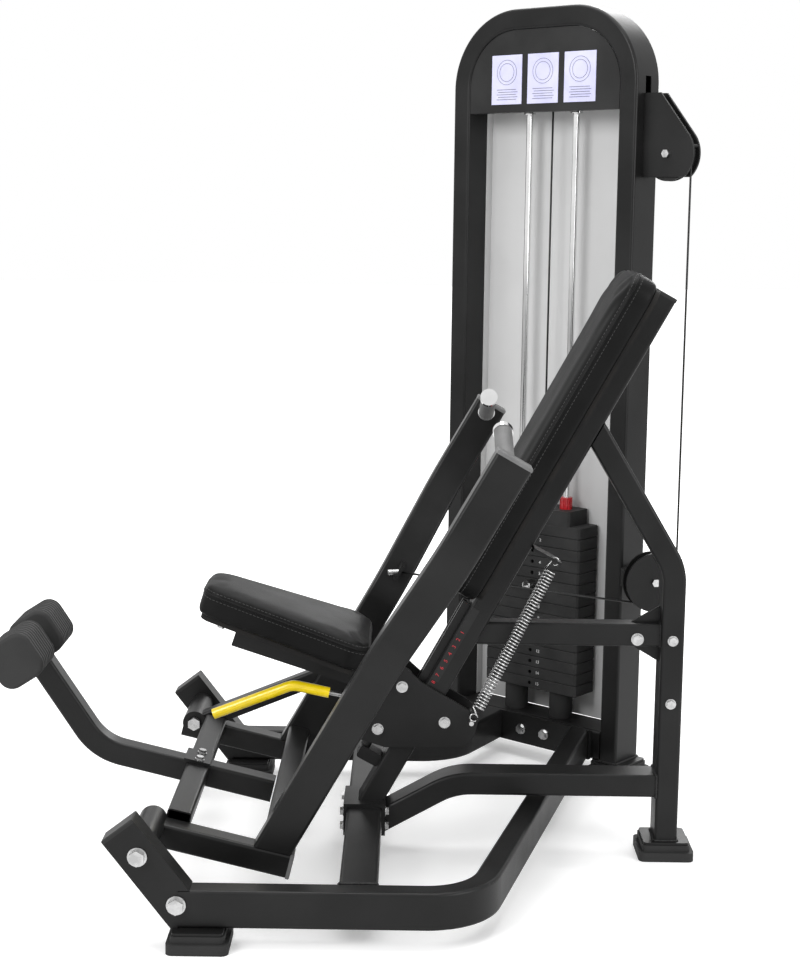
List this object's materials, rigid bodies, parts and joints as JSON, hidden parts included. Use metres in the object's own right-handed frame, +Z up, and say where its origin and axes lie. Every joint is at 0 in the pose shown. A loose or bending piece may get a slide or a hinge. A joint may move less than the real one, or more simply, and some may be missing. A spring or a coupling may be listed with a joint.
{
  "type": "chest press machine",
  "caption": "Seated chest press: linked press arms and foot lever lift a selectorised weight stack by cable; seat slides on a leaning tube under a tall back pad.",
  "frame": {"origin": "bottom centre of the whole machine, on the floor", "axes": "+Z up, +X from the foot pads towards the rear upright, +Y towards the weight tower; the user faces -X"},
  "size_m": [1.5526, 1.5268, 1.895],
  "materials": {
    "frame_paint": "satin black powder coat",
    "arm_paint": "satin black powder coat",
    "vinyl": "black upholstery vinyl",
    "board": "black-stained plywood",
    "foot_rubber": "moulded dark grey rubber",
    "grip_rubber": "mid grey rubber",
    "cap_plastic": "black plastic",
    "zinc": "zinc-plated steel",
    "chrome": "polished chrome",
    "cast": "dark grey coated steel",
    "collar_red": "red plastic",
    "shroud_paint": "light grey powder coat",
    "sign_paint": "black panel",
    "label": "printed plastic",
    "yellow": "glossy yellow sleeve",
    "nylon": "black nylon",
    "cable_coat": "black coated wire rope",
    "spring_steel": "bright spring steel"
  },
  "bodies": {
    "frame": {"base_rail_near": "frame_paint", "base_rail_far": "frame_paint", "base_cross_tube": "frame_paint", "pivot_brackets": "frame_paint", "tube_caps": "cap_plastic", "frame_bolts": "zinc", "rubber_feet": "foot_rubber", "weld_plates": "frame_paint", "main_tube": "frame_paint", "saddle": "frame_paint", "rear_upright": "frame_paint", "rear_tubes": "frame_paint", "tower_leg_left": "frame_paint", "tower_leg_right": "frame_paint", "tower_arch": "frame_paint", "tower_base_beam": "frame_paint", "sign_panel": "sign_paint", "label_plates": "label", "tower_shroud": "shroud_paint", "guide_bar": "frame_paint", "guide_rods": "chrome", "rubber_bumpers": "foot_rubber", "weight_plates_resting": "cast", "pulley_wing": "frame_paint", "lower_pulley_bracket": "frame_paint", "cable_guided": "cable_coat", "cable_stack": "cable_coat", "cable_drive": "cable_coat", "seat_rack": "frame_paint", "back_pad": "vinyl", "back_board": "board", "seat_spring": "spring_steel"},
    "press_arms": {"arm_side_tubes": "arm_paint", "press_arm_near": "arm_paint", "press_arm_far": "arm_paint", "arm_caps": "grip_rubber", "arm_cross_tubes": "arm_paint", "handle_bars": "chrome", "handle_grips": "grip_rubber", "arm_tabs": "arm_paint", "arm_fasteners": "zinc", "foot_lever": "arm_paint", "foot_pads": "foot_rubber"},
    "seat_carriage": {"carriage_plates": "frame_paint", "carriage_bolts": "zinc", "seat_board": "board", "seat_pad": "vinyl"},
    "seat_roller_low": {"seat_roller_low": "nylon"},
    "seat_roller_high": {"seat_roller_high": "nylon"},
    "seat_roller_rear": {"seat_roller_rear": "nylon"},
    "latch_pin": {"latch_pin": "zinc"},
    "seat_lever": {"seat_lever": "zinc", "seat_lever_grip": "yellow"},
    "weight_stack": {"weight_plates_lifted": "cast", "stack_carrier": "cast", "stack_collars": "collar_red"},
    "selector_pin": {"selector_pin": "chrome"},
    "pulley_outer": {"pulley_outer": "nylon"},
    "pulley_inner": {"pulley_inner": "nylon"},
    "pulley_lower": {"pulley_lower": "nylon"}
  },
  "joints": [
    {"name": "press_turn", "type": "hinge", "parent": "frame", "child": "press_arms", "pos_m": [-0.4029, -0.1834, 0.182], "axis": [0, -1, 0], "range_deg": [0, 35], "deforming": ["cable_drive"]},
    {"name": "stack_lift", "type": "slide", "parent": "frame", "child": "weight_stack", "axis": [0, 0, 1], "range_m": [0, 0.345], "deforming": ["cable_stack"]},
    {"name": "selector_pull", "type": "slide", "parent": "weight_stack", "child": "selector_pin", "axis": [-0.6428, -0.766, 0], "range_m": [0, 0.07]},
    {"name": "pulley_outer_spin", "type": "hinge", "parent": "frame", "child": "pulley_outer", "pos_m": [0.70946, 0.30471, 1.54], "axis": [-0.6428, -0.766, 0], "range_deg": [-360, 360]},
    {"name": "pulley_inner_spin", "type": "hinge", "parent": "frame", "child": "pulley_inner", "pos_m": [0.49267, 0.48662, 1.752], "axis": [-0.6428, -0.766, 0], "range_deg": [-360, 360]},
    {"name": "pulley_lower_spin", "type": "hinge", "parent": "frame", "child": "pulley_lower", "pos_m": [0.69711, 0.2556, 0.52], "axis": [-0.2039, 0.979, 0], "range_deg": [-360, 360]},
    {"name": "seat_slide", "type": "slide", "parent": "frame", "child": "seat_carriage", "axis": [0.4802, 0, 0.8771], "range_m": [0, 0.14], "deforming": ["seat_spring"]},
    {"name": "roller_low_spin", "type": "hinge", "parent": "seat_carriage", "child": "seat_roller_low", "pos_m": [0.04217, -0.1834, 0.28867], "axis": [0, 1, 0], "range_deg": [-360, 360]},
    {"name": "roller_high_spin", "type": "hinge", "parent": "seat_carriage", "child": "seat_roller_high", "pos_m": [0.09404, -0.1834, 0.3834], "axis": [0, 1, 0], "range_deg": [-360, 360]},
    {"name": "roller_rear_spin", "type": "hinge", "parent": "seat_carriage", "child": "seat_roller_rear", "pos_m": [0.18672, -0.1834, 0.30529], "axis": [0, 1, 0], "range_deg": [-360, 360]},
    {"name": "lever_lift", "type": "hinge", "parent": "seat_carriage", "child": "seat_lever", "pos_m": [-0.00094, -0.2379, 0.35901], "axis": [0, 1, 0], "range_deg": [0, 12]},
    {"name": "latch_slide", "type": "slide", "parent": "seat_carriage", "child": "latch_pin", "axis": [-0.8771, 0, 0.4802], "range_m": [0, 0.0106]}
  ],
  "couplings": [
    {"joint": "stack_lift", "follows": "press_turn", "m_per_rad": 0.562},
    {"joint": "pulley_outer_spin", "follows": "press_turn", "ratio": -9.69},
    {"joint": "pulley_inner_spin", "follows": "press_turn", "ratio": -9.69},
    {"joint": "pulley_lower_spin", "follows": "press_turn", "ratio": 9.69},
    {"joint": "roller_low_spin", "follows": "seat_slide", "rad_per_m": -40},
    {"joint": "roller_high_spin", "follows": "seat_slide", "rad_per_m": -40},
    {"joint": "roller_rear_spin", "follows": "seat_slide", "rad_per_m": 40},
    {"joint": "latch_slide", "follows": "lever_lift", "m_per_rad": 0.05}
  ]
}
